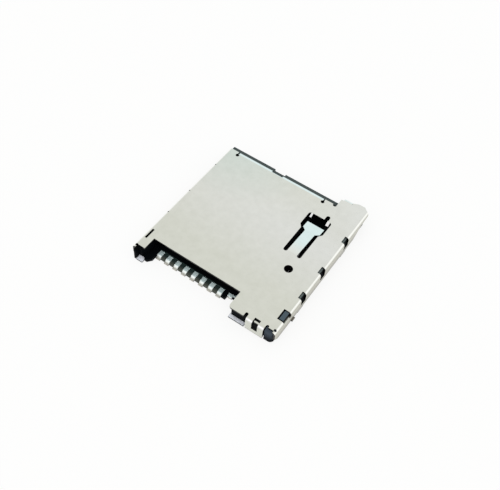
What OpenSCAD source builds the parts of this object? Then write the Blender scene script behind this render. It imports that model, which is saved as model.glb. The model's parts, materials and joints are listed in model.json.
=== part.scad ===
// Micro SD card socket of the push to lock, push to release kind, for surface mounting.
// Millimetres. The board is z = 0, +Z is up, and the card goes in along +Y through the mouth at the front.
// The slider, the cam rod and the spring stand as they do with no card in the socket.

/* [Shell] */
// Width over the side walls
shell_w = 17.6; // [17.2:0.1:19]
// Depth from the front wall to the end of the rear tongue
shell_d = 19.3; // [18.9:0.1:21]
// Height of the top over the board
shell_h = 1.9; // [1.85:0.05:2.3]
// Thickness of the sheet
sheet_t = 0.2; // [0.15:0.01:0.22]
// Outer radius of the folds
fold_r = 0.35; // [0.3:0.01:0.45]
// Height of the side walls' lower edge over the board
wall_gap = 0.2; // [0.1:0.05:0.35]
// Length of each latch slot along the side walls
slot_len = 0.92; // [0.7:0.02:1.2]
// Height of the latch slots' lower end over the board
slot_low = 0.75; // [0.6:0.05:1]
// Width of the latch window at the front of each side
window_len = 1.35; // [1:0.05:1.5]
// Diameter of the round hole over the cam rod's pivot
hole_d = 0.95; // [0.8:0.05:1.2]
// Depth of the mouth's notch, behind the front wall's outer face
notch_depth = 2.25; // [1.9:0.05:2.5]
// Reach of the shell's solder feet beyond the side walls
foot_reach = 0.12; // [0.08:0.02:0.3]

/* [Spring finger] */
// Width of the finger's stem
finger_w = 1.2; // [1:0.02:1.4]
// Width of the finger's head
head_w = 2.07; // [1.8:0.01:2.2]
// Width of the slots beside the stem
finger_slot = 0.46; // [0.36:0.02:0.5]
// Slope of the finger, down towards its head
finger_tilt = 5.1; // [4.5:0.1:5.6]

/* [Card] */
// Width of the card
card_w = 11; // [11:0.05:11.1]
// Play of the card across the channel
card_play = 0.15; // [0.1:0.01:0.25]
// Height of the card's underside over the channel's floor
rail_h = 0.2; // [0.15:0.01:0.25]

/* [Housing] */
// Thickness of the moulded floor
floor_t = 0.4; // [0.38:0.01:0.45]
// Width of the guide wall on the card's straight side
guide_w = 1; // [0.9:0.05:1.2]
// Width of the wall beside the spring
side_wall_w = 0.55; // [0.45:0.05:0.65]
// Thickness of the wall behind the card
rear_wall_t = 0.86; // [0.6:0.02:0.9]
// Drop of the rear wall's top below the shell's underside
rear_drop = 0.15; // [0.13:0.01:0.2]
// Width of the gate recess in the middle of the rear edge
gate_w = 1.4; // [1:0.1:2]
// Depth of the gate recess
gate_depth = 0.24; // [0.15:0.01:0.3]

/* [Contacts] */
// Number of contacts
contact_count = 8; // [8:1:8]
// Spacing of the contacts
contact_pitch = 1.1; // [1.05:0.01:1.12]
// Width of a contact
contact_w = 0.54; // [0.4:0.02:0.6]
// Width of a contact at its touching point
contact_tip_w = 0.34; // [0.25:0.01:0.4]
// Thickness of the contact strip
contact_t = 0.15; // [0.1:0.01:0.18]
// Distance from the wall behind the card to the root of a contact's sprung end
contact_root = 7.4; // [7.2:0.1:7.8]
// Distance from the wall behind the card to a contact's touching point
contact_touch = 4.2; // [3.9:0.1:4.5]
// Height of the free touching point over the floor
contact_rise = 0.55; // [0.4:0.05:0.65]

/* [Mechanism] */
// Full travel of the slider
travel = 2.6; // [2.2:0.1:2.7]
// Diameter of the cam rod's wire
rod_d = 0.36; // [0.3:0.01:0.4]
// Distance along Y from the cam rod's pivot to its follower
rod_len = 6.29; // [6:0.05:6.5]
// Sideways reach of the follower over the full travel
cam_shift = 0.45; // [0.35:0.01:0.5]
// Width of the slider's cam channel
channel_w = 1.8; // [1.75:0.01:1.9]
// Length of the slider's cam channel
channel_len = 5.5; // [5.4:0.05:5.6]
// Length of the slider's arm, from the cam channel to its outer end
arm_len = 2.8; // [2.7:0.05:2.9]
// Thickness of the slider's ribs
rib_w = 0.25; // [0.2:0.01:0.28]
// Outer diameter of the eject spring
spring_d = 1.15; // [1:0.01:1.18]
// Wire of the eject spring
spring_wire = 0.18; // [0.14:0.01:0.2]
// Turns of the eject spring
spring_turns = 13; // [9:1:15]

/* [Clearances] */
// Fit between pieces that are fixed to each other
fit = 0.02; // [0.01:0.01:0.04]
// Running gap of the pieces that slide or turn
run_gap = 0.05; // [0.03:0.01:0.07]
// Radial gap of the cam rod in its pivot hole
pivot_gap = 0.03; // [0.02:0.01:0.06]

/* [Hidden] */
$fn = 48;
over = 0.5;

// Shell
wall_x = shell_w / 2;
front_y = -shell_d / 2;
back_y = shell_d / 2;
under_z = shell_h - sheet_t;
flat_x = wall_x - fold_r;
notch_y = front_y + notch_depth;
lip_y = back_y - 1.65;
lip_bend_y = lip_y - 0.28;
lip_edge_y = lip_y + 0.05;
lip_drop = 0.1;
tab_gap = 0.7;
bay_back_y = back_y - 0.1;
slot_places = [front_y + 13.62, front_y + 8.79, front_y + 5.05];
slot_inset = 0.12;
left_slot_top = shell_h - fold_r - 0.1;
window_y = front_y + 1.82;
window_inset = 0.5;
leg_len = 1;
foot_len = 0.5;
foot_y = front_y + 3.45;
edge_y = front_y + 0.15;
corner_y = front_y + 0.5;
end_wall_low = 0.2;

// Housing
house_x = wall_x - sheet_t - fit;
house_top = under_z - fit;
block_y = front_y + 0.45;
card_x0 = guide_w - house_x;
card_x1 = card_x0 + card_w + card_play;
floor_y = notch_y - 0.22;
comb_y = floor_y - 0.5;
cover_y = notch_y + 0.05;
cover_len = 1.8;
cover_t = 0.12;
left_block_y = block_y + 0.2;
left_post_top = shell_h - 0.35;
rear_top = under_z - lip_drop - rear_drop + 0.1;
rear_out = lip_y + 0.66;
rear_in = rear_out - rear_wall_t;
bay_rear_y = bay_back_y - sheet_t - fit;
bay_wall_t = 0.3;
bay_in_y = bay_rear_y - bay_wall_t;
bay_x = card_x1 + 1.86;
rail_w = 0.5;
lug_gap = 0.08;
gate_x = card_x0 + 5.32;
front_slot_x0 = bay_x + 0.77;
front_slot_x1 = front_slot_x0 + 0.68;
front_slot_y = corner_y + 0.17;

// Slider, seen at the outer end of its travel
slider_x0 = card_x1 + 0.11;
channel_x0 = slider_x0 + rib_w;
channel_x1 = channel_x0 + channel_w;
slider_x1 = channel_x1 + rib_w;
channel_mid = channel_x0 + channel_w / 2;
stop_wall_y = rear_out - 0.51;
slider_y1 = stop_wall_y - travel - 2 * run_gap;
channel_y0 = slider_y1 - channel_len;
slider_y0 = channel_y0 - arm_len;
slider_z0 = floor_t + 0.03;
channel_floor = slider_z0 + 0.14;
arm_w = 0.9;
tab_reach = 1.25;
spring_arm_t = 0.7;

// Lock spring, by distances from the slider's outer end
lock_start = 1.15;
lock_bend = 2.4;
lock_tip = 3.5;
lock_return = 4.1;
lock_end = 4.5;
lock_depth = 0.42;

// Cam rod and the finger that holds it down
follower = [channel_mid, slider_y1 - 1.4];
pivot = [channel_mid + 0.87, follower[1] - rod_len];
finger_x = channel_mid + 0.09;
finger_y0 = pivot[1] + 1.74;
finger_bend_y = finger_y0 + finger_slot / 2;
head_y0 = follower[1] - 0.45;
head_y1 = follower[1] + 0.5;
window_y0 = head_y0 - 0.05;
window_y1 = head_y1 + 0.95;
function finger_under(y) = under_z - (y - finger_bend_y) * tan(finger_tilt);
rod_z = finger_under(follower[1] + rod_d / 2) - run_gap - rod_d / 2;
rib_top = finger_under(head_y1) - 2 * run_gap;
island_top = rod_z - rod_d / 2 - run_gap;
boss_d = 1.3;
pivot_floor = 0.2;

// Eject spring
spring_x = house_x - side_wall_w - run_gap - spring_d / 2;
spring_z = (floor_t + under_z) / 2;
spring_y0 = channel_y0 + spring_arm_t;
spring_pin_d = spring_d - 2 * spring_wire - 4 * run_gap;

// Contacts
contact_z = floor_t - contact_t / 2;
contact_x0 = card_x0 + 1.09;
contact_root_y = rear_in - contact_root;
contact_touch_y = rear_in - contact_touch;
contact_end_y = contact_touch_y + 0.65;
tail_bend_y = comb_y + 0.19;
tail_end_y = tail_bend_y - 0.38;
detect_x0 = contact_x0 + contact_count * contact_pitch - contact_w / 2;
detect_x1 = detect_x0 + contact_w;
comb_x1 = detect_x0 - fit;
apron_x = contact_x0 - contact_w / 2 - 0.06;

// Card detect switch and hold-downs, in the front blocks
switch_y0 = front_y + 0.85;
switch_y1 = front_y + 4.7;
switch_root_y = switch_y0 + 1.25;
switch_root_len = 0.6;
switch_x1 = card_x1 + 1.8;
switch_leaf_x = card_x1 + 0.52;
leaf_t = 0.12;
foot_t = 0.2;
foot_out_y = front_y + 0.07;
hold_y = switch_y0 + foot_t;
left_foot_x0 = -house_x + 0.28;
left_foot_x1 = card_x0 + 0.06;
left_plate_x0 = left_foot_x0 + 0.06;
left_plate_x1 = card_x0 - 0.3;
left_plate_top = 1.2;
right_foot_x0 = card_x1 - 0.15;
right_foot_x1 = switch_x1 - 0.08;
right_arm_x = card_x1 + 0.7;

// Points at an even spacing along a path, with each corner rounded to a radius
function unit(v) = v / norm(v);
function corner_arc(a, b, c, r) =
    let (u = unit(a - b), w = unit(c - b))
    let (half = acos(u * w) / 2)
    let (cut = r / tan(half))
    let (mid = b + unit(u + w) * r / sin(half))
    let (from = b + u * cut - mid, to = b + w * cut - mid)
    [for (i = [0 : 4]) mid + r * unit(from * (4 - i) + to * i)];
function round_path(path, r) = [
    path[0],
    for (i = [1 : len(path) - 2]) each corner_arc(path[i - 1], path[i], path[i + 1], r),
    path[len(path) - 1]
];
// One side of a strip of a given half thickness along a path
function side_of(path, half) = [
    for (i = [0 : len(path) - 1])
        let (a = path[max(i - 1, 0)], b = path[i], c = path[min(i + 1, len(path) - 1)])
        let (u = i == 0 ? unit(c - b) : unit(b - a), w = i == len(path) - 1 ? u : unit(c - b))
        let (n = unit([-u[1] - w[1], u[0] + w[0]]))
        b + n * half / (n * [-u[1], u[0]])
];
function reversed(list) = [for (i = [len(list) - 1 : -1 : 0]) list[i]];

// Flat section of a strip that follows a path
module strip_section(path, t) {
    polygon(concat(side_of(path, t / 2), reversed(side_of(path, -t / 2))));
}

// A section drawn in Y and Z, made solid from x0 to x1
module along_x(x0, x1) {
    translate([x0, 0, 0]) rotate([90, 0, 90]) linear_extrude(height = x1 - x0) children();
}

// A section drawn in X and Z, made solid from y0 to y1
module along_y(y0, y1) {
    translate([0, y1, 0]) rotate([90, 0, 0]) linear_extrude(height = y1 - y0) children();
}

// A plan outline, made solid from z0 to z1
module upright(z0, z1) {
    translate([0, 0, z0]) linear_extrude(height = z1 - z0) children();
}

// A block given by its two corners
module block(low, high) {
    translate(low) cube(high - low);
}

// Half of an arch: a flat top with a rounded shoulder, standing on z = 0
module shoulder(w, h, r) {
    square([w, h - r]);
    square([w - r, h]);
    translate([w - r, h - r]) circle(r);
}

// Slot in plan with one round end, from y0 to the round end at y1
module round_slot(x, w, y0, y1) {
    inward = y1 > y0 ? -w / 2 : w / 2;
    translate([x - w / 2, min(y0, y1 + inward)]) square([w, abs(y1 + inward - y0)]);
    translate([x, y1 + inward]) circle(w / 2);
}

// Shell: the top with its two side walls, as one folded section
module side_walls_section() {
    difference() {
        for (side = [0, 1]) mirror([side, 0]) shoulder(wall_x, shell_h, fold_r);
        for (side = [0, 1]) mirror([side, 0]) shoulder(wall_x - sheet_t, under_z, fold_r - sheet_t);
    }
}

// Shell: outline of the side walls, with the front end cut back and the rear end tapered off
module side_wall_outline() {
    polygon([
        [front_y, shell_h + over], [front_y, under_z - 0.6], [front_y + 0.9, wall_gap],
        [back_y - 3.35, wall_gap], [back_y - 2.05, under_z - 0.6], [back_y - 0.6, under_z - 0.35],
        [back_y, under_z - 0.2], [back_y, shell_h + over]
    ]);
}

// Shell: plan of the top, with the mouth's notch and the step at the back
module top_outline() {
    wide = wall_x + over;
    notch_x1 = card_x1 - 0.22;
    difference() {
        polygon([
            [-wide, front_y + 0.3], [-flat_x, front_y + 0.3], [-flat_x, front_y + tab_gap],
            [card_x0 + 0.03, front_y + tab_gap], [card_x0 + 0.03, notch_y], [notch_x1, notch_y],
            [notch_x1, edge_y], [bay_x - 0.13, edge_y], [bay_x - 0.13, corner_y],
            [flat_x, corner_y], [flat_x, front_y + 0.25], [wide, front_y + 0.25],
            [wide, back_y - 0.65], [flat_x, back_y - 0.3], [flat_x - 0.35, back_y],
            [bay_x + 1.95, back_y], [bay_x + 1.32, back_y - 0.3], [bay_x + 1.32, back_y - 0.6],
            [bay_x, back_y - 0.6],
            [bay_x, lip_y], [-wide, lip_y]
        ]);
        translate([notch_x1, edge_y]) difference() {
            translate([-0.01, -0.01]) square(0.36);
            translate([0.35, 0.35]) circle(0.35);
        }
    }
}

// Shell: a wall folded down from the top's front or back edge, drawn for the edge at +Y
module end_wall_section(edge, low) {
    reach = 1;
    inner_w = over + reach - sheet_t;
    inner_h = over + under_z - low;
    translate([edge - reach, low]) difference() {
        shoulder(reach, shell_h - low, fold_r);
        translate([-over, -over]) shoulder(inner_w, inner_h, fold_r - sheet_t);
    }
}

// Shell: plan of the slots and the window that free the spring finger
module finger_opening() {
    slots_x0 = finger_x - finger_w / 2 - finger_slot;
    slots_x1 = finger_x + finger_w / 2 + finger_slot;
    window_gap = 0.36;
    window_x0 = finger_x - head_w / 2 - window_gap;
    window_x1 = finger_x + head_w / 2 + window_gap;
    window_d = window_y1 - window_y0;
    corner = 0.3;
    slot_mids = [slots_x0 + finger_slot / 2, slots_x1 - finger_slot / 2];
    for (x = slot_mids) round_slot(x, finger_slot, head_y0, finger_y0);
    translate([slot_mids[0], finger_bend_y])
        square([slot_mids[1] - slot_mids[0], window_y0 - finger_bend_y]);
    translate([window_x0, window_y0]) square([window_x1 - window_x0, window_d - corner]);
    translate([window_x0 + corner, window_y0]) square([window_x1 - window_x0 - 2 * corner, window_d]);
    for (x = [window_x0 + corner, window_x1 - corner]) translate([x, window_y1 - corner]) circle(corner);
    polygon([
        [window_x0, window_y0], [window_x1, window_y0],
        [slots_x1, window_y0 - 0.45], [slots_x0, window_y0 - 0.45]
    ]);
    round_slot(finger_x + 0.65, finger_slot, window_y1 - corner, window_y1 + 0.68);
}

// Shell: plan of the finger itself, a stem with a wide head
module finger_outline() {
    half = finger_w / 2;
    head = head_w / 2;
    polygon([
        [finger_x - half, finger_bend_y - 0.3], [finger_x + half, finger_bend_y - 0.3],
        [finger_x + half, head_y0 - 0.35], [finger_x + head, head_y0],
        [finger_x + head, head_y1], [finger_x - head, head_y1],
        [finger_x - head, head_y0], [finger_x - half, head_y0 - 0.35]
    ]);
}

// Shell: the sprung finger, bent down to press on the cam rod
module finger() {
    intersection() {
        upright(0, shell_h) finger_outline();
        along_x(finger_x - head_w, finger_x + head_w) polygon([
            [finger_bend_y - 0.2, under_z], [finger_bend_y, under_z], [head_y1, finger_under(head_y1)],
            [head_y1, finger_under(head_y1) + sheet_t], [finger_bend_y, shell_h],
            [finger_bend_y - 0.2, shell_h]
        ]);
    }
}

// Shell: the two short tongues at the back of the window, bent down to steady the slider
module guide_tongues() {
    reach = 0.42;
    drop = 0.28;
    for (span = [[-1.17, -0.95], [0.83, 1.15]]) along_x(finger_x + span[0], finger_x + span[1]) polygon([
        [window_y1 + 0.1, under_z], [window_y1, under_z], [window_y1 - reach, under_z - drop],
        [window_y1 - reach, shell_h - drop], [window_y1, shell_h], [window_y1 + 0.1, shell_h]
    ]);
}

// Shell: the tongue in the front slot that hooks over the housing's lug
module latch_tongue() {
    drop = 0.1;
    block([front_slot_x0 + 0.12, block_y - 0.2, under_z - drop],
        [front_slot_x1 + 0.06, block_y - fit, shell_h - drop]);
}

// Shell: the lip over the card's end, bent down a little between two reliefs
module rear_lip() {
    difference() {
        along_x(card_x0 + 0.17, card_x1 + 0.27) polygon([
            [lip_bend_y - 0.05, under_z], [lip_bend_y, under_z], [lip_edge_y, under_z - lip_drop],
            [lip_edge_y, shell_h - lip_drop], [lip_bend_y, shell_h], [lip_bend_y - 0.05, shell_h]
        ]);
        block([gate_x - gate_w / 2, lip_edge_y - gate_depth, 0],
            [gate_x + gate_w / 2, back_y, shell_h + over]);
    }
}

// Shell: plan of the reliefs and cuts round the top's edges
module edge_cuts() {
    relief_w = 0.2;
    relief_d = 0.42;
    relief_y = lip_y - 0.48;
    lip_ends = [card_x0 + 0.1, card_x1 + 0.34];
    translate([lip_ends[0], lip_bend_y]) square([lip_ends[1] - lip_ends[0], over + 1]);
    for (x = lip_ends) {
        translate([x - relief_w / 2, relief_y]) square([relief_w, 1]);
        translate([x, relief_y]) circle(d = relief_d);
    }
    translate([bay_x - 0.2, lip_y - 0.06]) circle(d = 0.42);
    translate([bay_x - 0.2, lip_y - 0.06]) square([0.2, 0.3]);
    round_slot(bay_x - 0.13, 0.35, front_y - over, corner_y + 0.19);
    translate([bay_x + 2.12, corner_y - over]) square([0.15, over + 0.14]);
    translate([bay_x + 2.27, corner_y + 0.07]) circle(d = 0.3);
    translate([flat_x + 0.08, corner_y + 0.12]) circle(d = 0.3);
    translate([-flat_x - 0.08, corner_y + 0.12]) circle(d = 0.3);
    translate([-flat_x - 0.02, window_y]) square([0.25, window_len]);
    for (place = slot_places) translate([-wall_x + 0.14, place + slot_len]) circle(d = 0.18);
}

// Shell: feet and legs of one side wall, where it is soldered down
module side_feet() {
    for (place = [slot_places[0], slot_places[2]])
        block([wall_x - sheet_t, place - 0.4, 0], [wall_x, place - 0.4 + leg_len, wall_gap + fold_r]);
    along_y(foot_y, foot_y + foot_len) difference() {
        translate([wall_x - sheet_t, 0]) square([foot_reach + sheet_t, wall_gap + fold_r]);
        translate([wall_x, sheet_t]) square([foot_reach + over, shell_h]);
    }
}

module shell() {
    color("gainsboro") {
        difference() {
            union() {
                intersection() {
                    along_y(front_y, back_y) side_walls_section();
                    along_x(-wall_x - over, wall_x + over) side_wall_outline();
                    upright(-over, shell_h + over) top_outline();
                }
                along_x(bay_x + 0.05, bay_x + 2.1) mirror([1, 0])
                    end_wall_section(-front_y, end_wall_low);
                along_x(bay_x + 0.3, bay_x + 1.3) end_wall_section(bay_back_y, end_wall_low);
                for (side = [0, 1]) mirror([side, 0, 0]) side_feet();
            }
            upright(under_z - over, shell_h + over) {
                finger_opening();
                edge_cuts();
                translate(pivot) circle(d = hole_d);
            }
            for (place = slot_places) {
                slot_end = place + slot_len;
                block([flat_x - slot_inset, place, slot_low], [wall_x + over, slot_end, shell_h + over]);
                block([-wall_x - over, place, slot_low], [-flat_x, slot_end, left_slot_top]);
            }
            block([flat_x - window_inset, window_y, under_z - fold_r],
                [wall_x + over, window_y + window_len, shell_h + over]);
            block([front_slot_x0, front_y - over, slot_low],
                [front_slot_x1, front_slot_y, shell_h + over]);
        }
        finger();
        guide_tongues();
        latch_tongue();
        rear_lip();
    }
}

// Housing: floor, walls and blocks before any pocket is cut
module housing_body() {
    block([-house_x, floor_y, 0], [card_x1, rear_out, floor_t]);
    block([card_x0 - over, comb_y, 0], [comb_x1, floor_y + over, floor_t]);
    upright(0, floor_t) polygon([
        [card_x0 - 0.1, left_block_y], [card_x0 + 0.1, left_block_y - 0.2],
        [card_x0 + 0.37, left_block_y - 0.2], [apron_x, comb_y - 0.6],
        [apron_x, comb_y + 0.2], [card_x0 - 0.1, comb_y + 0.2]
    ]);
    block([-house_x, foot_out_y + 0.05, 0], [left_foot_x0 - 0.08, left_block_y + 0.1, left_post_top]);
    block([-house_x, left_block_y, 0], [card_x0, rear_out, house_top - rear_drop]);
    block([-house_x, left_block_y, 0], [card_x0, lip_bend_y - 0.3, house_top]);
    block([-house_x, rear_in, 0], [card_x1, rear_out, rear_top]);
    block([card_x1 - over, stop_wall_y, 0], [bay_x + run_gap, rear_out, rear_top]);
    block([card_x1, block_y, 0], [house_x, rear_out, floor_t]);
    block([bay_x, rear_out - over, 0], [house_x - fold_r, bay_rear_y, floor_t]);
    block([bay_x - run_gap, stop_wall_y + 0.1, 0], [bay_x + bay_wall_t - run_gap, bay_rear_y, house_top]);
    block([bay_x - run_gap, bay_in_y, 0], [house_x - fold_r, bay_rear_y, house_top]);
    block([house_x - side_wall_w, block_y, 0], [house_x, bay_rear_y - 0.45, house_top]);
    block([house_x - side_wall_w, block_y, 0], [house_x - fold_r, bay_rear_y, house_top]);
    block([card_x1, block_y, 0], [house_x, slider_y0 - 0.4, house_top]);
    block([card_x1, block_y, 0], [slider_x0 + arm_w + 0.15, slider_y0 - run_gap, house_top]);
    upright(0, house_top) {
        translate([house_x - 0.45, front_y + 0.6]) circle(0.45);
        translate([bay_x + 2.2, front_y + 0.15]) square([house_x - 0.45 - bay_x - 2.2, 0.9]);
    }
    block([front_slot_x0 + 0.03, front_y + sheet_t + fit, slot_low + 0.05],
        [front_slot_x1 - 0.03, block_y + over, under_z - 0.2]);
}

// Housing: rails under the card, the bar over the contact strips, the slider's guides and the latch lugs
module housing_guides() {
    rail_top = floor_t + rail_h;
    block([card_x0 - over, cover_y, floor_t - over / 2], [card_x0 + rail_w, rear_in + over / 2, rail_top]);
    block([card_x0 - over, cover_y, floor_t - over / 2],
        [detect_x1 + 0.2, cover_y + cover_len, floor_t + cover_t]);
    block([-wall_x + 0.12, lip_y + 0.08, 0], [-house_x + 0.1, rear_out, rear_top]);
    block([slider_x0 - run_gap - rail_w, slider_y0, floor_t - over / 2],
        [slider_x0 - run_gap, rear_in + over / 2, rail_top]);
    block([slider_x1 + run_gap, spring_y0 + travel + 0.3, floor_t - over / 2],
        [slider_x1 + 0.25, bay_in_y + bay_wall_t / 2, shell_h - 0.5]);
    translate([spring_x, bay_in_y + 0.05, spring_z]) rotate([90, 0, 0])
        cylinder(d = spring_pin_d, h = 1.25);
    translate([pivot[0], pivot[1], 0]) cylinder(d = boss_d, h = rod_z - rod_d / 2 - run_gap);
    for (side = [0, 1]) mirror([side, 0, 0]) for (place = slot_places)
        along_y(place + lug_gap, place + slot_len - lug_gap) polygon([
            [house_x - 0.1, slot_low + fit], [wall_x - 0.04, slot_low + fit],
            [wall_x - 0.04, slot_low + 0.1], [house_x, slot_low + 0.4], [house_x - 0.1, slot_low + 0.4]
        ]);
    block([flat_x - window_inset + 2 * lug_gap, window_y + 2 * lug_gap, under_z - 0.4],
        [house_x, window_y + window_len - lug_gap, shell_h - lug_gap]);
}

// Housing: grooves for the contact strips, and windows under their sprung ends
module contact_pockets() {
    groove = contact_w / 2 + fit;
    for (i = [0 : contact_count - 1]) translate([contact_x0 + i * contact_pitch, 0, 0]) {
        block([-groove, comb_y - over, floor_t - contact_t - fit],
            [groove, contact_root_y + 0.3, floor_t + fit]);
        block([-groove, comb_y - over, -over], [groove, tail_bend_y + 0.12, floor_t]);
        block([-groove - 0.08, contact_root_y + 0.25, -over],
            [groove + 0.08, contact_end_y + 0.3, floor_t + over]);
    }
}

// Housing: room for the card detect switch and for the two hold-downs
module front_pockets() {
    strip_z = floor_t - contact_t - fit;
    root_y = switch_root_y + switch_root_len + fit;
    plate_y = hold_y + fit;
    block([card_x1 - over, switch_y0, floor_t], [switch_x1, switch_y1, house_top + over]);
    block([detect_x0 - fit, floor_y - over, strip_z], [detect_x1 + fit, root_y, floor_t + fit]);
    block([detect_x0 - fit, switch_root_y - fit, strip_z],
        [switch_leaf_x + leaf_t / 2 + 2 * fit, root_y, floor_t + fit]);
    block([right_foot_x0 - fit, front_y - over, -over], [right_foot_x1 + fit, plate_y, foot_t + fit]);
    block([right_arm_x - fit, switch_y0 - fit, -over], [right_foot_x1 + fit, plate_y, floor_t + over]);
    block([left_foot_x0 - fit, front_y - over, -over], [left_foot_x1 + fit, plate_y, foot_t + fit]);
    block([left_plate_x0 - fit, switch_y0 - fit, -over],
        [left_plate_x1 + fit, plate_y, left_plate_top + fit]);
}

// Housing: the room inside the shell's folds
module housing_envelope() {
    edge_r = fold_r - sheet_t;
    start_y = front_y - over;
    intersection() {
        along_y(start_y, back_y) for (side = [0, 1]) mirror([side, 0]) shoulder(house_x, house_top, edge_r);
        along_x(-wall_x, wall_x) translate([start_y, 0]) shoulder(bay_rear_y - start_y, house_top, edge_r);
    }
}

module housing() {
    color("#3a4148") difference() {
        union() {
            intersection() {
                housing_body();
                housing_envelope();
            }
            housing_guides();
        }
        contact_pockets();
        front_pockets();
        block([gate_x - gate_w / 2, rear_out - gate_depth, -over],
            [gate_x + gate_w / 2, rear_out + over, shell_h]);
        translate([pivot[0], pivot[1], pivot_floor]) cylinder(d = rod_d + 2 * pivot_gap, h = shell_h);
        upright(floor_t, shell_h) polygon([
            [card_x0 - 0.35, left_block_y - 0.01], [card_x0 + 0.01, left_block_y - 0.01],
            [card_x0 + 0.01, left_block_y + 0.8]
        ]);
    }
}

// Contacts: one stamped strip, with its foot, its run through the floor and its sprung touching end
module contact(i) {
    path = round_path([
        [tail_end_y, contact_t / 2], [tail_bend_y - 0.14, contact_t / 2],
        [tail_bend_y, contact_z], [contact_root_y, contact_z],
        [contact_touch_y, floor_t + contact_rise], [contact_end_y, floor_t + 0.3]
    ], 0.16);
    color("lightsteelblue") translate([contact_x0 + (i - 1) * contact_pitch, 0, 0]) intersection() {
        along_x(-contact_w / 2, contact_w / 2) strip_section(path, contact_t);
        upright(-over, shell_h) polygon([
            [-contact_w / 2, tail_end_y - over], [contact_w / 2, tail_end_y - over],
            [contact_w / 2, contact_root_y], [contact_tip_w / 2, contact_touch_y],
            [contact_tip_w / 2, contact_end_y + over], [-contact_tip_w / 2, contact_end_y + over],
            [-contact_tip_w / 2, contact_touch_y], [-contact_w / 2, contact_root_y]
        ]);
    }
}

// Card detect terminal: a tail in the contact row, and a leaf that the card's edge pushes aside
module detect_contact() {
    strip_z = floor_t - contact_t;
    root_y = switch_root_y + switch_root_len;
    leaf_x0 = switch_leaf_x - leaf_t / 2;
    leaf_x1 = switch_leaf_x + leaf_t / 2;
    leaf = round_path([
        [switch_leaf_x, switch_root_y], [switch_leaf_x, root_y + 0.1], [card_x1 - 0.3, switch_y1 - 0.85],
        [card_x1 + 0.3, switch_y1 - 0.3], [card_x1 + 0.32, switch_y1 - 0.1]
    ], 0.15);
    color("lightsteelblue") {
        block([detect_x0, floor_y - leaf_t, strip_z], [detect_x1, root_y, floor_t]);
        block([detect_x0, floor_y - leaf_t, 0], [detect_x1, floor_y - fit, floor_t]);
        block([detect_x0, switch_root_y, strip_z], [leaf_x1, root_y, floor_t]);
        block([leaf_x0, switch_root_y, strip_z], [leaf_x1, root_y, floor_t + 0.4]);
        upright(floor_t + 0.3, floor_t + 0.9) strip_section(leaf, leaf_t);
    }
}

// Hold-down at the front left: a foot folded from a plate that is pressed into the housing
module hold_down_left() {
    color("silver") {
        block([left_foot_x0, foot_out_y, 0], [left_foot_x1, hold_y, foot_t]);
        block([left_plate_x0, switch_y0, 0], [left_plate_x1, hold_y, left_plate_top]);
    }
}

// Hold-down at the front right, whose side arm is the fixed side of the detect switch
module hold_down_right() {
    color("silver") {
        block([right_foot_x0, foot_out_y, 0], [right_foot_x1, hold_y, foot_t]);
        block([right_arm_x, switch_y0, 0], [right_foot_x1, hold_y, floor_t + 0.9]);
        block([right_arm_x, switch_y0, floor_t + 0.3],
            [right_arm_x + foot_t, switch_y1 - 0.1, floor_t + 0.9]);
    }
}

// Slider: plan of the heart shaped island that the follower runs round
module heart() {
    tip = [follower[0] - 0.13, follower[1] - 0.75];
    lobe_y = follower[1] - travel + 0.42;
    polygon([
        tip, [tip[0] - 0.24, lobe_y + 0.4], [tip[0] - 0.22, lobe_y], [tip[0] + 0.02, lobe_y + 0.22],
        [tip[0] + 0.22, lobe_y - 0.05], [tip[0] + 0.2, lobe_y + 0.5]
    ]);
}

module slider() {
    color("dimgray") {
        block([slider_x0, channel_y0, slider_z0], [slider_x1, slider_y1, channel_floor]);
        block([slider_x0, slider_y0, slider_z0], [channel_x0, slider_y1, rib_top]);
        block([channel_x1, channel_y0, slider_z0], [slider_x1, slider_y1 + 0.5, rib_top]);
        block([slider_x0, slider_y0, slider_z0], [slider_x0 + arm_w, channel_y0 + 0.4, island_top]);
        block([card_x1 - tab_reach, slider_y0 + 0.3, floor_t + rail_h + run_gap],
            [slider_x0 + rib_w, slider_y0 + 1.1, shell_h - 0.45]);
        block([channel_x1, channel_y0, slider_z0],
            [spring_x + spring_d / 2 - run_gap, spring_y0, shell_h - 0.4]);
        translate([spring_x, spring_y0 - 0.05, spring_z]) rotate([-90, 0, 0])
            cylinder(d = spring_pin_d, h = 1.05);
        upright(slider_z0, island_top) heart();
    }
}

// Leaf on the slider that snaps into the card's side notch
module card_lock_spring() {
    back_x = slider_x0 - leaf_t / 2;
    leaf = round_path([
        [back_x, slider_y0 + lock_start], [back_x, slider_y0 + lock_bend],
        [back_x - lock_depth, slider_y0 + lock_tip],
        [back_x - fit, slider_y0 + lock_return], [back_x - fit, slider_y0 + lock_end]
    ], 0.15);
    color("lightsteelblue") upright(floor_t + rail_h + run_gap, rib_top) strip_section(leaf, leaf_t);
}

// Cam rod: a wire with one end turned down into its pivot and the other into the cam, with tight bends
module cam_rod() {
    reach = follower - pivot;
    span = norm(reach);
    bend_d = 1.1 * rod_d;
    color("gainsboro") translate([pivot[0], pivot[1], 0]) rotate([0, 0, atan2(reach[1], reach[0])]) {
        translate([0, 0, rod_z]) rotate([0, 90, 0]) cylinder(d = rod_d, h = span);
        rod_end(pivot_floor + run_gap, bend_d);
        translate([span, 0, 0]) rod_end(channel_floor + run_gap, bend_d);
    }
}

// Cam rod: one end that is turned down to a height
module rod_end(low, bend_d) {
    translate([0, 0, low]) cylinder(d = rod_d, h = rod_z - low);
    translate([0, 0, rod_z]) sphere(d = bend_d);
}

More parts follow.
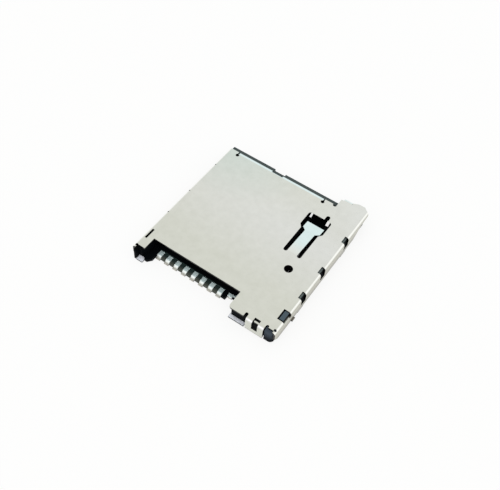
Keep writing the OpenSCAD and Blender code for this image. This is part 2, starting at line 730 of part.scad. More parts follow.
// Eject spring: a wire swept along a helix with closed ends
module eject_spring() {
    sides = 6;
    per_turn = 16;
    rings = spring_turns * per_turn;
    coil_r = (spring_d - spring_wire) / 2;
    span = bay_in_y - spring_y0 - spring_wire - 2 * fit;
    closed = spring_wire * 1.05;
    open = (span - 2 * closed) / (spring_turns - 2);
    function rise(turn) = turn < 1 ? closed * turn
        : turn > spring_turns - 1 ? span - closed * (spring_turns - turn) : closed + open * (turn - 1);
    function ring(i) =
        let (turn = i / per_turn, a = 360 * turn)
        [for (k = [0 : sides - 1])
            let (b = 360 * k / sides, r = coil_r + spring_wire / 2 * cos(b))
            [r * cos(a), rise(turn) + spring_wire / 2 * sin(b), r * sin(a)]];
    points = [for (i = [0 : rings]) each ring(i)];
    faces = concat(
        [[for (k = [0 : sides - 1]) k]],
        [for (i = [0 : rings - 1], k = [0 : sides - 1])
            let (n = (k + 1) % sides)
            [i * sides + k, (i + 1) * sides + k, (i + 1) * sides + n, i * sides + n]],
        [[for (k = [sides - 1 : -1 : 0]) rings * sides + k]]
    );
    color("silver") translate([spring_x, spring_y0 + spring_wire / 2 + fit, spring_z])
        polyhedron(points = points, faces = faces, convexity = 10);
}

shell();
housing();
for (i = [1 : contact_count]) contact(i);
detect_contact();
hold_down_left();
hold_down_right();
slider();
card_lock_spring();
cam_rod();
eject_spring();
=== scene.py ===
# %% [markdown]
# # A memory card socket, dressed for a studio picture
# The socket is a stamped sheet shell over a dark moulded frame, with plated contacts in its mouth and
# a sprung slider inside. The solids come ready made from the CAD frame, in metres, each with its
# place in its mesh. This lesson gives them a camera, light and finishes, softens the edges of the
# stamped strips, and puts a smooth copy in the eject spring's place.

# %% Load the frame
import json
from math import pi, radians

import bpy
from mathutils import Matrix, Vector


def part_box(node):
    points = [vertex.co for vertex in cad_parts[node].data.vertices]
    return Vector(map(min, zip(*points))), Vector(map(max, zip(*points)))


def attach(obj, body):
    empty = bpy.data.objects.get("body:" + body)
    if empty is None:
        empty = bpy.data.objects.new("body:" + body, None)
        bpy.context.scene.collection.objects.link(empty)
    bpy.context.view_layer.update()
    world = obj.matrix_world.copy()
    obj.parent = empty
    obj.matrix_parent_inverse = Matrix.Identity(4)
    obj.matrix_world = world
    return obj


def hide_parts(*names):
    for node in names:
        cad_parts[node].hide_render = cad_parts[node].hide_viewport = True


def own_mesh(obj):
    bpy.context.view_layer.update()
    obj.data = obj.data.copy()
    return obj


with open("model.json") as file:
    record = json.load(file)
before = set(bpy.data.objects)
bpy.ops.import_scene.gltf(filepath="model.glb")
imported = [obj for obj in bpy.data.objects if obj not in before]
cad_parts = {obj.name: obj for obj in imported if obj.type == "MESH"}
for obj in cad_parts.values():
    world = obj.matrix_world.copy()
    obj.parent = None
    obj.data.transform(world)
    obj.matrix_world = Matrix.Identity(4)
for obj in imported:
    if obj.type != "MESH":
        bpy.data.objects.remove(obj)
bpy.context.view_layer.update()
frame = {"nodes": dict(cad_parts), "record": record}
MM = 0.001

# %% [markdown]
# ## Camera
# The picture looks down over the mouth's right corner with a moderate lens. A camera could simply be
# aimed at the socket, but that leaves its roll to chance. So it is placed by a matrix whose columns
# are its right, up and backward directions.

# %% Place the camera
CAMERA_PLACE = Vector((22.75, -40.43, 61.80)) * MM
CAMERA_RIGHT = Vector((0.82323, 0.56450, 0.06026))
CAMERA_UP = Vector((-0.48553, 0.64508, 0.59003))
CAMERA_BACK = CAMERA_RIGHT.cross(CAMERA_UP)
SENSOR_MM = 36
LENS_MM = 51.58
NEAREST = 1 * MM
FARTHEST = 10


def make_camera():
    data = bpy.data.cameras.new("picture_camera")
    data.sensor_fit = "HORIZONTAL"
    data.sensor_width = SENSOR_MM
    data.lens = LENS_MM
    data.clip_start = NEAREST
    data.clip_end = FARTHEST
    camera = bpy.data.objects.new("picture_camera", data)
    bpy.context.scene.collection.objects.link(camera)
    turn = Matrix((CAMERA_RIGHT, CAMERA_UP, CAMERA_BACK)).transposed()
    camera.matrix_world = Matrix.Translation(CAMERA_PLACE) @ turn.to_4x4()
    bpy.context.scene.camera = camera
    return camera


camera = make_camera()
bpy.context.scene.view_settings.view_transform = "Standard"
print(camera.name, "stands", round(camera.location.length / MM, 1), "mm from the origin")

# %% [markdown]
# ## Helpers for node trees
# Every material is a small network of nodes. It could be wired by hand in the shader editor, but a
# script can be run again after each change of the solids. A few helpers keep it short: they start a
# material or a group, add a node, set its inputs by name, and join values by a Math or Mix node.

# %% Start a material or a group
FLOAT = "NodeSocketFloat"
COLOR = "NodeSocketColor"


def new_material(name):
    material = bpy.data.materials.new(name)
    material.use_nodes = True
    tree = material.node_tree
    return material, tree, tree.nodes["Principled BSDF"]


def new_group(name, inputs, outputs):
    group = bpy.data.node_groups.new(name, "ShaderNodeTree")
    for label, kind, value in inputs:
        socket = group.interface.new_socket(label, in_out="INPUT", socket_type=kind)
        socket.default_value = value
    for label, kind in outputs:
        group.interface.new_socket(label, in_out="OUTPUT", socket_type=kind)
    return group, group.nodes.new("NodeGroupInput"), group.nodes.new("NodeGroupOutput")


print("group sockets:", FLOAT, "and", COLOR)

# %% Add nodes and join values
# A Mix node holds sockets for numbers, vectors and colours. These are the places of the colours.
MIX_MASK, MIX_FIRST, MIX_SECOND, MIX_RESULT = 0, 6, 7, 2


def add_node(tree, kind, **values):
    node = tree.nodes.new(kind)
    for name, value in values.items():
        setattr(node, name, value)
    return node


def put(node, **inputs):
    for name, value in inputs.items():
        node.inputs[name.replace("_", " ")].default_value = value
    return node


def feed(tree, socket, value):
    """Gives a socket its value, from another node's output or as a plain number or colour."""
    if isinstance(value, bpy.types.NodeSocket):
        tree.links.new(value, socket)
    else:
        socket.default_value = value


def calculate(tree, operation, *values, clamp=False):
    """A Math node on one, two or three values."""
    node = add_node(tree, "ShaderNodeMath", operation=operation, use_clamp=clamp)
    for socket, value in zip(node.inputs, values):
        feed(tree, socket, value)
    return node.outputs[0]


def mixed(tree, mask, first, second):
    """A colour between two others: the first where the mask is 0, the second where it is 1."""
    mix = add_node(tree, "ShaderNodeMix", data_type="RGBA")
    for place, value in ((MIX_MASK, mask), (MIX_FIRST, first), (MIX_SECOND, second)):
        feed(tree, mix.inputs[place], value)
    return mix.outputs[MIX_RESULT]


print("node helpers ready")

# %% [markdown]
# ## Light
# Small shiny parts are photographed in a white tent, so that every fold of the metal has something
# pale to reflect. A modelled tent would do, but the world can play it at no cost. The camera,
# reflections and glass see it as white, and matt surfaces get a softer grey from it, so that inner
# corners fall dark as they do in life.

# %% Make the tent
TENT_GREY = (0.92, 0.93, 0.93, 1)
WHITE = (1, 1, 1, 1)


def seen_directly(tree):
    """A mask that is 1 for the camera, for reflections and through glass, and 0 for soft light."""
    rays = add_node(tree, "ShaderNodeLightPath").outputs
    mirrored = calculate(tree, "ADD", rays["Is Camera Ray"], rays["Is Glossy Ray"])
    return calculate(tree, "ADD", mirrored, rays["Is Transmission Ray"], clamp=True)


def make_world():
    world = bpy.data.worlds.new("white_tent")
    world.use_nodes = True
    bpy.context.scene.world = world
    tree = world.node_tree
    shade = mixed(tree, seen_directly(tree), TENT_GREY, WHITE)
    tree.links.new(shade, tree.nodes["Background"].inputs["Color"])
    return world


world = make_world()
print("world:", world.name)

# %% [markdown]
# Three soft panels shape the metal, each a little brighter than the tent behind it. A cool one low
# behind the socket catches the sloping finger and the rear lip, and the other two brighten the long
# folds from the right and from the front. A panel's power follows from its area, so each is set by
# the brightness that it adds.

# %% Hang the soft panels
PANEL_DISTANCE = 0.22
PANELS = {
    # name: the way to it from the socket, its side in metres, its brightness and its tint
    "rear_panel": ((-0.21, 0.857, 0.473), 0.143, 0.12, (0.80, 0.94, 1.0)),
    "right_panel": ((0.80, 0.48, 0.36), 0.15, 0.22, (1.0, 0.99, 0.97)),
    "front_left_panel": ((-0.30, -0.80, 0.50), 0.13, 0.35, (1.0, 1.0, 0.97)),
}


def make_panel(name, toward, side, brightness, tint):
    data = bpy.data.lights.new(name, "AREA")
    data.shape = "SQUARE"
    data.size = side
    data.energy = brightness * pi * side * side
    data.color = tint
    panel = bpy.data.objects.new(name, data)
    place = Vector(toward).normalized() * PANEL_DISTANCE
    panel.location = place
    panel.rotation_euler = (-place).to_track_quat("-Z", "Y").to_euler()
    bpy.context.scene.collection.objects.link(panel)
    print(name, "power", round(data.energy, 4), "W")


for name, values in PANELS.items():
    make_panel(name, *values)

# %% [markdown]
# The floor is a plain pale sheet. Lit only by the lamps it would render grey, and as a pure light it
# would lose the shadow. So the camera sees a mix: mostly white, with enough of the real shading left
# in it to keep the contact shadow.

# %% Lay the floor
FLOOR_SIZE = 0.8
FLOOR_SHADE = (0.97, 0.965, 0.935, 1)
FLOOR_ROUGHNESS = 0.9
FLOOR_WHITENESS = 0.85


def make_floor():
    bpy.ops.object.select_all(action="DESELECT")
    bpy.ops.mesh.primitive_plane_add(size=FLOOR_SIZE)
    floor = bpy.context.object
    floor.name = "floor"
    material, tree, shader = new_material("pale_floor")
    put(shader, Base_Color=FLOOR_SHADE, Roughness=FLOOR_ROUGHNESS, Specular_IOR_Level=0.0)
    white = calculate(tree, "MULTIPLY", seen_directly(tree), FLOOR_WHITENESS)
    glow = add_node(tree, "ShaderNodeEmission")
    mix = add_node(tree, "ShaderNodeMixShader")
    for socket, value in zip(mix.inputs, (white, shader.outputs[0], glow.outputs[0])):
        tree.links.new(value, socket)
    tree.links.new(mix.outputs[0], tree.nodes["Material Output"].inputs["Surface"])
    floor.data.materials.append(material)
    return floor


floor = make_floor()
print("floor:", floor.name, FLOOR_SIZE, "m wide")

# %% [markdown]
# ## Shared surface effects
# Rolled sheet has faint streaks along the roll, and a slow cloudiness from plating and handling.
# Moulded plastic has a fine even grain. Each could be built again in every material, but one node
# group for each effect keeps them alike, and a material still sets its own values on it.

# %% Streaks and clouds of rolled, plated metal
PLAIN_GREY = (0.7, 0.7, 0.7, 1)
STREAK_SCALE = (40000, 1500, 40000)
NOISE_MIDDLE = 0.5


def make_metal_skin():
    group, given, made = new_group(
        "metal_skin",
        [("Color", COLOR, PLAIN_GREY), ("Tint", COLOR, PLAIN_GREY), ("Cloud Size", FLOAT, 500.0),
         ("Roughness", FLOAT, 0.35), ("Roughness Spread", FLOAT, 0.06)],
        [("Color", COLOR), ("Roughness", FLOAT), ("Height", FLOAT)],
    )
    link, asked = group.links.new, given.outputs
    place = add_node(group, "ShaderNodeTexCoord").outputs["Object"]
    clouds = put(add_node(group, "ShaderNodeTexNoise"), Detail=4.0, Roughness=0.55)
    link(place, clouds.inputs["Vector"])
    link(asked["Cloud Size"], clouds.inputs["Scale"])
    stretch = put(add_node(group, "ShaderNodeMapping"), Scale=STREAK_SCALE)
    streaks = put(add_node(group, "ShaderNodeTexNoise"), Scale=1.0, Detail=3.0)
    link(place, stretch.inputs["Vector"])
    link(stretch.outputs[0], streaks.inputs["Vector"])
    centred = calculate(group, "SUBTRACT", streaks.outputs[0], NOISE_MIDDLE)
    rough = calculate(group, "MULTIPLY_ADD", centred, asked["Roughness Spread"], asked["Roughness"])
    link(mixed(group, clouds.outputs[0], asked["Color"], asked["Tint"]), made.inputs["Color"])
    link(rough, made.inputs["Roughness"])
    link(streaks.outputs[0], made.inputs["Height"])
    return group


metal_skin = make_metal_skin()
print("group:", metal_skin.name)

# %% Grain of moulded plastic
PLAIN_BLACK = (0.03, 0.03, 0.03, 1)
PLAIN_DARK = (0.05, 0.05, 0.05, 1)
PATCH_SCALE = 900.0
GLOSSY_PATCH, MATT_PATCH = 0.34, 0.52


def make_moulded_grain():
    group, given, made = new_group(
        "moulded_grain",
        [("Color", COLOR, PLAIN_BLACK), ("Pale", COLOR, PLAIN_DARK), ("Grain Size", FLOAT, 12000.0)],
        [("Color", COLOR), ("Roughness", FLOAT), ("Height", FLOAT)],
    )
    link, asked = group.links.new, given.outputs
    place = add_node(group, "ShaderNodeTexCoord").outputs["Object"]
    grain = put(add_node(group, "ShaderNodeTexNoise"), Detail=3.0)
    link(place, grain.inputs["Vector"])
    link(asked["Grain Size"], grain.inputs["Scale"])
    patches = put(add_node(group, "ShaderNodeTexNoise"), Scale=PATCH_SCALE, Detail=2.0)
    link(place, patches.inputs["Vector"])
    sheen = put(add_node(group, "ShaderNodeMapRange"), To_Min=GLOSSY_PATCH, To_Max=MATT_PATCH)
    link(patches.outputs[0], sheen.inputs["Value"])
    link(mixed(group, patches.outputs[0], asked["Color"], asked["Pale"]), made.inputs["Color"])
    link(sheen.outputs["Result"], made.inputs["Roughness"])
    link(grain.outputs[0], made.inputs["Height"])
    return group


moulded_grain = make_moulded_grain()
print("group:", moulded_grain.name)

# %% [markdown]
# Several finishes change from place to place: with the way a face looks, or with where it lies. An
# unwrapped picture could carry that, but it would have to be painted again for every new solid. The
# normal and the place come from the object itself, so a mask made from them stays put from every
# side. These helpers read both, turn a reading into a soft mask, and join masks. From here on, a
# value called a lean is a pair of limits for a normal's part along one axis, and a span is a pair of
# limits for a place along one.

# %% Masks by direction and place


def split_normal(tree):
    facing = add_node(tree, "ShaderNodeNewGeometry")
    split = add_node(tree, "ShaderNodeSeparateXYZ")
    tree.links.new(facing.outputs["Normal"], split.inputs[0])
    return split.outputs


def split_place(tree):
    place = add_node(tree, "ShaderNodeTexCoord")
    split = add_node(tree, "ShaderNodeSeparateXYZ")
    tree.links.new(place.outputs["Object"], split.inputs[0])
    return split.outputs


def absolute(tree, reading):
    return calculate(tree, "ABSOLUTE", reading)


def soft_step(tree, reading, start, end):
    """A mask that rises from 0 at the start to 1 at the end; an end below the start makes it fall."""
    step = add_node(tree, "ShaderNodeMapRange", interpolation_type="SMOOTHSTEP")
    low, high = sorted((start, end))
    put(step, From_Min=low, From_Max=high)
    if end < start:
        put(step, To_Min=1.0, To_Max=0.0)
    tree.links.new(reading, step.inputs["Value"])
    return step.outputs["Result"]


def overlap(tree, first, *others):
    """A mask that shows only where all of these do."""
    for mask in others:
        first = calculate(tree, "MULTIPLY", first, mask)
    return first


def either(tree, first, *others):
    """A mask that shows wherever one of these does."""
    for mask in others:
        first = calculate(tree, "MAXIMUM", first, mask)
    return first


print("mask helpers ready")

# %% [markdown]
# ## Finishes
# The springs and the cam follower are of drawn steel, which the die leaves dark, smooth and faintly
# streaked. A Principled shader alone would give a flat grey. The shared group adds the clouds and
# streaks, and its height, through a Bump node, the fine relief that catches the light.

# %% Drawn spring steel
METAL_BUMP = 0.25
SPRING_COOL = (0.22, 0.225, 0.235, 1)
SPRING_PALE = (0.30, 0.305, 0.32, 1)
SPRING_RELIEF = 0.001 * MM


def emboss(tree, shader, height, strength, depth):
    bump = put(add_node(tree, "ShaderNodeBump"), Strength=strength, Distance=depth)
    tree.links.new(height, bump.inputs["Height"])
    tree.links.new(bump.outputs[0], shader.inputs["Normal"])


def metal(name, color, tint, cloud_size, roughness, metallic=1.0):
    material, tree, shader = new_material(name)
    put(shader, Metallic=metallic)
    skin = add_node(tree, "ShaderNodeGroup", node_tree=metal_skin)
    put(skin, Color=color, Tint=tint, Cloud_Size=cloud_size, Roughness=roughness)
    tree.links.new(skin.outputs["Color"], shader.inputs["Base Color"])
    tree.links.new(skin.outputs["Roughness"], shader.inputs["Roughness"])
    print("metal:", name)
    return material, tree, shader, skin


def make_spring_steel():
    material, tree, shader, skin = metal(
        "drawn_spring_steel", SPRING_COOL, SPRING_PALE, cloud_size=1200.0, roughness=0.3)
    emboss(tree, shader, skin.outputs["Height"], METAL_BUMP, SPRING_RELIEF)
    return material


spring_steel = make_spring_steel()

# %% [markdown]
# The strip for the contacts and the feet is plated before it is stamped. A contact's flats are a pale
# bluish grey, its bends carry a painted highlight, and the low end of its tail is painted browner as
# shade near the board. The feet are matt tin, and the cut sides of contacts and feet are painted dark
# as shade. Separate materials on picked faces would leave hard borders, so masks do it: a flat looks
# straight up, a cut side looks sideways, and a tail's end lies low.

# %% Plated contacts and tinned feet
FLAT_COOL = (0.66, 0.80, 0.80, 1)
FLAT_PALE = (0.76, 0.90, 0.90, 1)
# Painted highlight on the contacts' bends.
BEND_HIGHLIGHT = (0.95, 1.0, 0.98, 1)
BEND_LEAN = (0.985, 0.90)
# Painted shade at the low end of the tails.
TAIL_SHADE = (0.46, 0.43, 0.37, 1)
TAIL_SPAN = (0.30 * MM, 0.10 * MM)
TIN_COOL = (0.80, 0.82, 0.90, 1)
TIN_PALE = (0.90, 0.92, 0.98, 1)
# Painted shade on the cut sides of contacts and feet.
SIDE_SHADE = (0.06, 0.07, 0.07, 1)
SIDE_LEAN = (0.6, 0.8)


def sideways_mask(tree, axis):
    return soft_step(tree, absolute(tree, split_normal(tree)[axis]), *SIDE_LEAN)


def make_contact_plate():
    material, tree, shader, skin = metal(
        "plated_contact", FLAT_COOL, FLAT_PALE, cloud_size=1500.0, roughness=0.34, metallic=0.3)
    # A painted highlight where a contact leans off straight up, and painted shade low on its tail and
    # on its sides.
    highlight_on_bends = soft_step(tree, split_normal(tree)["Z"], *BEND_LEAN)
    plated = mixed(tree, highlight_on_bends, skin.outputs["Color"], BEND_HIGHLIGHT)
    low = soft_step(tree, split_place(tree)["Z"], *TAIL_SPAN)
    tail_shaded = mixed(tree, low, plated, TAIL_SHADE)
    whole = mixed(tree, sideways_mask(tree, "X"), tail_shaded, SIDE_SHADE)
    tree.links.new(whole, shader.inputs["Base Color"])
    return material


def make_foot_tin():
    material, tree, shader, skin = metal(
        "tinned_foot", TIN_COOL, TIN_PALE, cloud_size=1200.0, roughness=0.45, metallic=0.0)
    # The feet's cut sides are painted dark as shade.
    cut = either(tree, sideways_mask(tree, "X"), sideways_mask(tree, "Y"))
    whole = mixed(tree, cut, skin.outputs["Color"], SIDE_SHADE)
    tree.links.new(whole, shader.inputs["Base Color"])
    return material


contact_plate = make_contact_plate()
foot_tin = make_foot_tin()

# %% [markdown]
# The shell is one rolled sheet. Painted reflections lie on its top: paler across its middle and at its
# right rear end, and cooler at the left rear corner. The finger, which slopes down to the rear,
# carries a painted cool reflection. A patch could be painted, but a spherical gradient needs
# only a middle and a reach, and the finger is found by its lean.

# %% Painted reflections on the shell's top
TOP_TONE = (0.640, 0.6525, 0.5725, 1)
# The pale patches and the cool corner on the top are painted reflections.
TOP_REFLECTION = (0.712, 0.722, 0.685, 1)
COOL_REFLECTION = (0.585, 0.657, 0.605, 1)
# Each patch has its middle and its reach.
REFLECTION_MIDDLE = Vector((6, 2, 1.9)) * MM, Vector((30, 7.5, 10)) * MM
REFLECTION_END = Vector((9, 8.5, 1.9)) * MM, Vector((8, 10, 10)) * MM
COOL_REFLECTION_CORNER = Vector((-8.5, 9, 1.9)) * MM, Vector((10, 8, 10)) * MM
# Painted cool reflection on the sloping finger.
SLOPE_REFLECTION = (0.655, 0.775, 0.760, 1)
SLOPE_LEAN = (0.03, 0.07)
SLOPE_SPAN = (-0.4 * MM, 1.9 * MM)
UPPER_LEAN = (0.2, 0.45)


def round_mask(tree, middle, reach):
    place = add_node(tree, "ShaderNodeTexCoord")
    fitted = add_node(tree, "ShaderNodeMapping", vector_type="TEXTURE")
    put(fitted, Location=middle, Scale=reach)
    glow = add_node(tree, "ShaderNodeTexGradient", gradient_type="SPHERICAL")
    tree.links.new(place.outputs["Object"], fitted.inputs["Vector"])
    tree.links.new(fitted.outputs[0], glow.inputs["Vector"])
    return glow.outputs["Fac"]


def slope_mask(tree, facing, place):
    leaning = soft_step(tree, facing["Y"], *SLOPE_LEAN)
    along = soft_step(tree, place["Y"], *SLOPE_SPAN)
    return overlap(tree, leaning, along, soft_step(tree, facing["Z"], *UPPER_LEAN))


def top_tone_and_reflections(tree, facing, place):
    # Painted reflections: pale patches, a cool corner and a cool finger.
    pale = either(tree, round_mask(tree, *REFLECTION_MIDDLE), round_mask(tree, *REFLECTION_END))
    sheet = mixed(tree, pale, TOP_TONE, TOP_REFLECTION)
    with_painted_reflections = mixed(tree, round_mask(tree, *COOL_REFLECTION_CORNER), sheet, COOL_REFLECTION)
    return mixed(tree, slope_mask(tree, facing, place), with_painted_reflections, SLOPE_REFLECTION)


print("finger cools from", SLOPE_SPAN[0] / MM, "to", SLOPE_SPAN[1] / MM, "mm along the socket")

# %% [markdown]
# The sheet carries a painted highlight wherever it folds over. The side walls carry painted shade,
# duller and browner towards their lower edge, and the feet that stand on the board are painted dark as
# shade. All of this follows the forming, so the normal and the height place it.

# %% Folds, walls and feet of the shell
# Painted highlights along the folds.
FOLD_HIGHLIGHT = (0.82, 0.82, 0.81, 1)
SIDE_FOLD_HIGHLIGHT = (0.835, 0.842, 0.795, 1)
FOLD_LEAN = (0.25, 0.5)
# Painted shade on the side walls, darker towards their lower edge.
WALL_SHADE = (0.42, 0.41, 0.31, 1)
WALL_LOW_SHADE = (0.17, 0.16, 0.095, 1)
WALL_LEAN = (0.88, 0.99)
WALL_SPAN = (1.4 * MM, 0.2 * MM)
# Painted shade on the feet near the board.
FOOT_SHADE = (0.20, 0.18, 0.15, 1)
FOOT_SPAN = (0.30 * MM, 0.20 * MM)


def fold_mask(tree, facing, axis):
    leaning = soft_step(tree, absolute(tree, facing[axis]), *FOLD_LEAN)
    return overlap(tree, leaning, soft_step(tree, facing["Z"], *UPPER_LEAN))


def shell_tone_and_light(tree, facing, place):
    top = top_tone_and_reflections(tree, facing, place)
    side_folded = mixed(tree, fold_mask(tree, facing, "X"), top, SIDE_FOLD_HIGHLIGHT)
    folded = mixed(tree, fold_mask(tree, facing, "Y"), side_folded, FOLD_HIGHLIGHT)
    painted_mask = soft_step(tree, absolute(tree, facing["X"]), *WALL_LEAN)
    wall_shade = mixed(tree, soft_step(tree, place["Z"], *WALL_SPAN), WALL_SHADE, WALL_LOW_SHADE)
    walled = mixed(tree, painted_mask, folded, wall_shade)
    return mixed(tree, soft_step(tree, place["Z"], *FOOT_SPAN), walled, FOOT_SHADE)


print("walls darken below", WALL_SPAN[0] / MM, "mm, feet are stained below", FOOT_SPAN[0] / MM, "mm")

# %% [markdown]
# Fine clouds darken and lighten these tones all over, as on any handled sheet. The cut edges where the
# punch went through are painted dark as shade. A cut edge is an upright face
# that lies inside the outer walls, or one that looks along the wall it is cut in, so a mask finds the
# edges of every hole at once, which picking faces by hand would not.

# %% Satin steel of the shell
BLACK = (0, 0, 0, 1)
CLOUD_DARK = 0.08
CLOUD_LIGHT = 0.15
SHEET_RELIEF = 0.002 * MM
# Painted shade on the cut edges.
CUT_SHADE = (0.020, 0.020, 0.018, 1)
UPRIGHT_LEAN = (0.35, 0.15)
END_LEAN = (0.5, 0.65)
INSIDE_X = 8.40 * MM
INSIDE_Y = 9.53 * MM


def cut_edge_mask(tree, facing, place):
    upright = soft_step(tree, absolute(tree, facing["Z"]), *UPRIGHT_LEAN)
    inside = calculate(tree, "LESS_THAN", absolute(tree, place["Y"]), INSIDE_Y)
    middle = calculate(tree, "LESS_THAN", absolute(tree, place["X"]), INSIDE_X)
    endways = soft_step(tree, absolute(tree, facing["Y"]), *END_LEAN)
    return overlap(tree, upright, inside, either(tree, middle, endways))


def make_shell_steel():
    material, tree, shader, skin = metal(
        "satin_shell_steel", TOP_TONE, TOP_REFLECTION, cloud_size=1100.0, roughness=0.2)
    emboss(tree, shader, skin.outputs["Height"], METAL_BUMP, SHEET_RELIEF)
    facing, place = split_normal(tree), split_place(tree)
    tone = shell_tone_and_light(tree, facing, place)
    feed(tree, skin.inputs["Color"], mixed(tree, CLOUD_DARK, tone, BLACK))
    feed(tree, skin.inputs["Tint"], mixed(tree, CLOUD_LIGHT, tone, WHITE))
    edge_shaded = mixed(tree, cut_edge_mask(tree, facing, place), skin.outputs["Color"], CUT_SHADE)
    tree.links.new(edge_shaded, shader.inputs["Base Color"])
    return material


shell_steel = make_shell_steel()

# %% [markdown]
# The frame and the slider are glass filled moulding, nearly black. Such a plastic has little shine,
# so its specular level is low, and its fine grain is too small to model and is left to a bump.

# %% Moulded plastic
PLASTIC_BUMP = 0.3
PLASTIC_RELIEF = 0.004 * MM
PLASTIC_SHINE = 0.015
SLIDER_BLACK = (0.004, 0.004, 0.005, 1)
SLIDER_GREY = (0.008, 0.009, 0.010, 1)


def plastic(name, color, pale):
    material, tree, shader = new_material(name)
    put(shader, Specular_IOR_Level=PLASTIC_SHINE)
    grain = add_node(tree, "ShaderNodeGroup", node_tree=moulded_grain)
    put(grain, Color=color, Pale=pale)
    tree.links.new(grain.outputs["Color"], shader.inputs["Base Color"])
    tree.links.new(grain.outputs["Roughness"], shader.inputs["Roughness"])
    emboss(tree, shader, grain.outputs["Height"], PLASTIC_BUMP, PLASTIC_RELIEF)
    print("plastic:", name)
    return material, tree, shader, grain


slider_plastic, *_ = plastic("moulded_slider", SLIDER_BLACK, SLIDER_GREY)

# %% [markdown]
# Where the frame shows along the right and rear rims and on the latch lug, its upward faces carry a
# painted bluish highlight. The moat round the lug and the other inner faces are left out and
# stay deep black, as shade. A shader over everything would grey those too, so the highlight is laid on
# by
# place: by rim, height and lean.

# %% Painted highlights on the frame's rims
# Painted highlights on the upward faces of the rims and the lug.
RIM_HIGHLIGHT = (0.150, 0.177, 0.172, 1)
REAR_HIGHLIGHT = (0.078, 0.096, 0.094, 1)
LUG_HIGHLIGHT = (0.080, 0.110, 0.130, 1)
HIGHLIGHT_LEAN = (0.6, 0.95)
HIGHLIGHT_SPAN = (1.0 * MM, 1.3 * MM)
RIGHT_RIM = 7.6 * MM
REAR_RIM = 7.8 * MM
LUG_TOP = 1.75 * MM
MOAT_MIDDLE_Y = -7.15 * MM
MOAT_HALF_Y = 0.75 * MM


def right_rim_mask(tree, place):
    return calculate(tree, "GREATER_THAN", place["X"], RIGHT_RIM)


def with_rim_highlights(tree, color, place):
    upward = soft_step(tree, split_normal(tree)["Z"], *HIGHLIGHT_LEAN)
    high = soft_step(tree, place["Z"], *HIGHLIGHT_SPAN)
    # The moat is left out, so it stays black as shade.
    off_moat = absolute(tree, calculate(tree, "SUBTRACT", place["Y"], MOAT_MIDDLE_Y))
    beside_moat = calculate(tree, "GREATER_THAN", off_moat, MOAT_HALF_Y)
    rim = overlap(tree, right_rim_mask(tree, place), beside_moat)
    rear = calculate(tree, "GREATER_THAN", place["Y"], REAR_RIM)
    lug = calculate(tree, "GREATER_THAN", place["Z"], LUG_TOP)
    shown = overlap(tree, upward, high, either(tree, rim, rear, lug))
    rim_highlight = mixed(tree, rear, mixed(tree, rim, LUG_HIGHLIGHT, RIM_HIGHLIGHT), REAR_HIGHLIGHT)
    return mixed(tree, shown, color, rim_highlight)


print("bloom on faces above", HIGHLIGHT_SPAN[0] / MM, "mm")

# %% [markdown]
# Two more places of the frame aren't black. The comb between the contact tails is greenish, and paler
# towards its front as a painted highlight, and the rounded right front corner carries a painted bluish
# highlight all round, brightest at its top. None of this has a thickness to speak of, so masks colour
# the plastic. The comb's ends come from the outer contacts' boxes, so its colour keeps to it.

# %% Comb tone, painted corner highlight, and the frame's plastic
FRAME_BLACK = (0.002, 0.003, 0.004, 1)
FRAME_GREY = (0.004, 0.005, 0.006, 1)
COMB_TONE = (0.022, 0.036, 0.034, 1)
# Painted highlight towards the comb's front.
COMB_FRONT_HIGHLIGHT = (0.085, 0.092, 0.078, 1)
COMB_FRONT_SPAN = (-7.6 * MM, -8.1 * MM)
COMB_BACK = -7.3 * MM
COMB_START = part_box("contact_1")[0][0]  # X of the lowest corner
COMB_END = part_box("contact_8")[1][0]  # X of the highest corner
# Painted highlight on the rounded right front corner, brightest at its top.
CORNER_HIGHLIGHT = (0.058, 0.074, 0.094, 1)
CORNER_Y = -8.9 * MM
CORNER_FADE = (0.0 * MM, 1.7 * MM)


def comb_mask(tree, place):
    after = calculate(tree, "GREATER_THAN", place["X"], COMB_START)
    before = calculate(tree, "LESS_THAN", place["X"], COMB_END)
    return overlap(tree, after, before, calculate(tree, "LESS_THAN", place["Y"], COMB_BACK))


def corner_mask(tree, place):
    ahead = calculate(tree, "LESS_THAN", place["Y"], CORNER_Y)
    painted_mask = soft_step(tree, place["Z"], *CORNER_FADE)
    return overlap(tree, right_rim_mask(tree, place), ahead, painted_mask)


def make_frame_plastic():
    material, tree, shader, grain = plastic("moulded_frame", FRAME_BLACK, FRAME_GREY)
    place = split_place(tree)
    rim_highlighted = with_rim_highlights(tree, grain.outputs["Color"], place)
    ahead = soft_step(tree, place["Y"], *COMB_FRONT_SPAN)
    comb_colour = mixed(tree, ahead, COMB_TONE, COMB_FRONT_HIGHLIGHT)
    comb_coloured = mixed(tree, comb_mask(tree, place), rim_highlighted, comb_colour)
    whole = mixed(tree, corner_mask(tree, place), comb_coloured, CORNER_HIGHLIGHT)
    tree.links.new(whole, shader.inputs["Base Color"])
    return material


frame_plastic = make_frame_plastic()
print("comb:", round((COMB_END - COMB_START) / MM, 2), "mm long")

# %% [markdown]
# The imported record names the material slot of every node. Giving out the finishes from that list,
# rather than node by node, means that none is forgotten.

# %% Dress the nodes
FINISHES = {
    "shell_steel": shell_steel,
    "housing_plastic": frame_plastic,
    "contact_metal": contact_plate,
    "foot_metal": foot_tin,
    "slider_plastic": slider_plastic,
    "spring_metal": spring_steel,
}
SLOT_OF = {part["node"]: part["material_slot"] for part in frame["record"]["subparts"]}
for name, slot_name in SLOT_OF.items():
    for slot in frame["nodes"][name].material_slots:
        slot.material = FINISHES[slot_name]
print("dressed:", len(SLOT_OF), "nodes")

# %% [markdown]
# ## Softer edges on the stamped strips
# Contacts and hold-downs are stamped from thin plated strip and then tumbled, so no edge of theirs is
# sharp. A Bevel node could fake that in the material, but it wouldn't show in the mesh. So each gets a
# copy of its solid with the loose triangles merged and the flat faces joined up. A narrow bevel then
# rounds only the sharp edges, smooth shading runs over the bends, and the copy takes the solid's
# place in the picture.

# %% Copy a solid and let the copy stand for it
MERGE_REACH = 0.0005 * MM


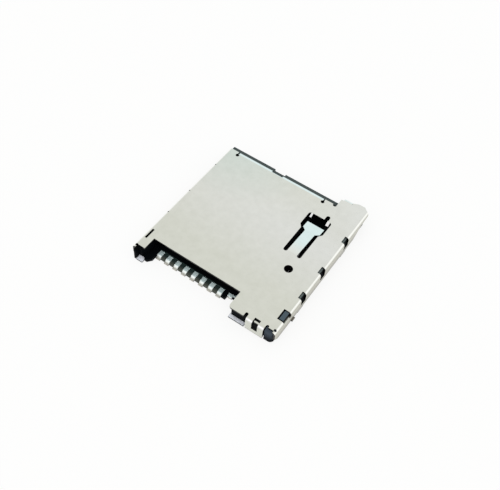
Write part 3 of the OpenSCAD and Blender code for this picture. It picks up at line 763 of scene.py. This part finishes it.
def merged_copy(name, ending):
    piece = bpy.data.objects.new(name + ending, frame["nodes"][name].data.copy())
    bpy.context.scene.collection.objects.link(piece)
    bpy.ops.object.select_all(action="DESELECT")
    bpy.context.view_layer.objects.active = piece
    piece.select_set(True)
    bpy.ops.object.mode_set(mode="EDIT")
    bpy.ops.mesh.select_all(action="SELECT")
    bpy.ops.mesh.remove_doubles(threshold=MERGE_REACH)
    bpy.ops.object.mode_set(mode="OBJECT")
    return piece


def stand_for(piece, name):
    piece.data.materials.clear()
    piece.data.materials.append(FINISHES[SLOT_OF[name]])
    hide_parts(name)
    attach(piece, "frame")


print("corners closer than", MERGE_REACH / MM, "mm become one")

# %% Round the strips' edges
STRIP_SLOTS = ("contact_metal", "foot_metal")
EDGE_ROUND = 0.03 * MM
EDGE_STEPS = 2
FLAT_ANGLE = radians(1)
SHARP_ANGLE = radians(40)


def tumbled_copy(name):
    piece = merged_copy(name, "_tumbled")
    bpy.ops.object.mode_set(mode="EDIT")
    bpy.ops.mesh.dissolve_limited(angle_limit=FLAT_ANGLE)
    bpy.ops.object.mode_set(mode="OBJECT")
    bevel = piece.modifiers.new("tumbled_edges", "BEVEL")
    bevel.width = EDGE_ROUND
    bevel.segments = EDGE_STEPS
    bevel.limit_method = "ANGLE"
    bevel.angle_limit = SHARP_ANGLE
    bpy.ops.object.modifier_apply(modifier=bevel.name)
    bpy.ops.object.shade_smooth_by_angle(angle=SHARP_ANGLE)
    stand_for(piece, name)
    return piece


tumbled = [tumbled_copy(name) for name, slot in SLOT_OF.items() if slot in STRIP_SLOTS]
print("strips with soft edges:", len(tumbled))

# %% [markdown]
# ## The eject spring
# The spring is a coil of drawn wire between the slider's arm and the wall behind it. When the slider
# goes in, the coil is pressed together towards the wall. A rigid solid can't do that. A smooth copy
# with a mesh of its own stands for it, and the slide's range is read from the record; nothing here
# flattens it.

# %% A smooth copy for the spring
WIRE_SMOOTH_ANGLE = radians(75)
joints = {joint["name"]: joint for joint in frame["record"]["behaviour"]["joints"]}
slide_start, slide_end = joints["slider_slide"]["range_m"]
spring = merged_copy("eject_spring", "_coil")
bpy.ops.object.shade_smooth_by_angle(angle=WIRE_SMOOTH_ANGLE)
stand_for(spring, "eject_spring")
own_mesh(spring)
print("slide from", slide_start / MM, "to", slide_end / MM, "mm")
